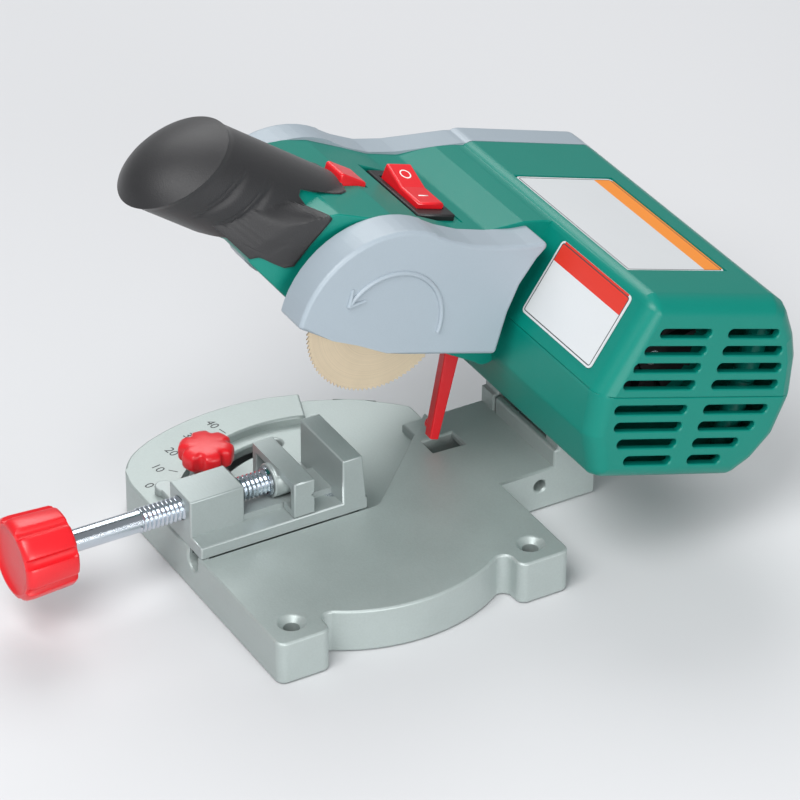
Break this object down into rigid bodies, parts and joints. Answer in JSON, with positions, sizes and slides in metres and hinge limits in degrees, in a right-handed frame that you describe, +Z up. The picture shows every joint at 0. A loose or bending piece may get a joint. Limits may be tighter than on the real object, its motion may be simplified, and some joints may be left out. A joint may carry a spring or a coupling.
{
  "type": "mini cut-off saw",
  "caption": "Bench cut-off saw: motor and belt-driven blade on a rear-hinged head with a rubber handle, over a cast base with a swivelling mitre vise.",
  "frame": {"origin": "on the bench plane, midway between the two bench bolt holes on the right of the base", "axes": "+Z up from the bench; +X to the right, the way the motor's vented end points; +Y to the rear, from the vise screw to the hinge"},
  "size_m": [0.1322, 0.2435, 0.1584],
  "materials": {
    "cast_base": "fine sand-cast, satin",
    "cast_vise": "satin cast, milled faces",
    "red_plastic": "moulded, semi-gloss",
    "green_shell": "moulded, fine texture",
    "grey_cover": "moulded, fine texture",
    "black_rubber": "soft, matte",
    "black_plastic": "moulded, matte",
    "dark_plastic": "moulded, matte",
    "blade_steel": "straw-tinted tool steel",
    "motor_steel": "lacquered can",
    "zinc_steel": "bright zinc",
    "dark_steel": "black oxide",
    "bright_steel": "turned"
  },
  "bodies": {
    "base": {"base_casting": "cast_base", "hinge_pin": "bright_steel", "hinge_pin_clips": "dark_steel"},
    "vise": {"vise_bed": "cast_vise", "vise_pivot_screw": "bright_steel", "angle_pointer": "cast_vise", "lock_stud": "bright_steel"},
    "lock_knob": {"lock_knob": "red_plastic"},
    "jaw": {"moving_jaw": "cast_vise"},
    "screw": {"vise_screw": "zinc_steel", "screw_knob": "red_plastic", "screw_retaining_ring": "dark_steel"},
    "head": {"head_return_spring": "bright_steel", "lower_shell": "green_shell", "upper_shell": "green_shell", "shell_screws": "bright_steel", "blade_guard": "grey_cover", "guard_screws": "bright_steel", "belt_cover": "grey_cover", "belt_cover_screws": "bright_steel", "handle_grip": "black_rubber", "cord_gland": "black_plastic", "motor_can": "motor_steel", "drive_belt": "black_rubber", "spindle_bearings": "bright_steel", "switch_bezel": "black_plastic", "lever_pivot_pin": "bright_steel", "lever_return_spring": "bright_steel"},
    "rotor": {"motor_shaft": "bright_steel", "motor_pulley": "dark_plastic", "cooling_fan": "dark_plastic"},
    "spindle": {"spindle": "bright_steel", "spindle_pulley": "dark_plastic", "inner_flange": "bright_steel", "saw_blade": "blade_steel", "outer_flange": "bright_steel", "arbor_screw": "dark_steel"},
    "rocker": {"switch_rocker": "red_plastic"},
    "lever": {"trigger_lever": "red_plastic"}
  },
  "joints": [
    {"name": "head_hinge", "type": "hinge", "parent": "base", "child": "head", "pos_m": [0, 0.08025, 0.024], "axis": [1, 0, 0], "range_deg": [0, 29.5], "stiffness_Nm_per_rad": 0.6, "springref_deg": -51.57},
    {"name": "vise_swivel", "type": "hinge", "parent": "base", "child": "vise", "pos_m": [-0.051, 0, 0.012], "axis": [0, 0, -1], "range_deg": [0, 45]},
    {"name": "lock_turn", "type": "hinge", "parent": "vise", "child": "lock_knob", "pos_m": [-0.082, -0.0285, 0.0196], "axis": [0, 0, 1], "range_deg": [0, 180]},
    {"name": "jaw_slide", "type": "slide", "parent": "vise", "child": "jaw", "axis": [0, 1, 0], "range_m": [-0.0101, 0.0097]},
    {"name": "screw_turn", "type": "hinge", "parent": "jaw", "child": "screw", "pos_m": [-0.056, -0.06, 0.0265], "axis": [0, 1, 0], "range_deg": [-2430, 2335]},
    {"name": "motor_spin", "type": "hinge", "parent": "head", "child": "rotor", "pos_m": [-0.06, 0.09261, 0.06236], "axis": [1, 0, 0], "continuous": true},
    {"name": "spindle_spin", "type": "hinge", "parent": "head", "child": "spindle", "pos_m": [-0.06, 0.00912, 0.08789], "axis": [1, 0, 0], "continuous": true},
    {"name": "switch_rock", "type": "hinge", "parent": "head", "child": "rocker", "pos_m": [-0.0668, 0.03692, 0.10835], "axis": [0, -0.9563, 0.2924], "range_deg": [0, 16]},
    {"name": "trigger_press", "type": "hinge", "parent": "head", "child": "lever", "pos_m": [-0.063, 0.05662, 0.08351], "axis": [1, 0, 0], "range_deg": [0, 2.8], "stiffness_Nm_per_rad": 0.12, "springref_deg": -20.05}
  ],
  "couplings": [
    {"joint": "screw_turn", "follows": "jaw_slide", "rad_per_m": 4188.8},
    {"joint": "spindle_spin", "follows": "motor_spin", "ratio": 0.65}
  ]
}
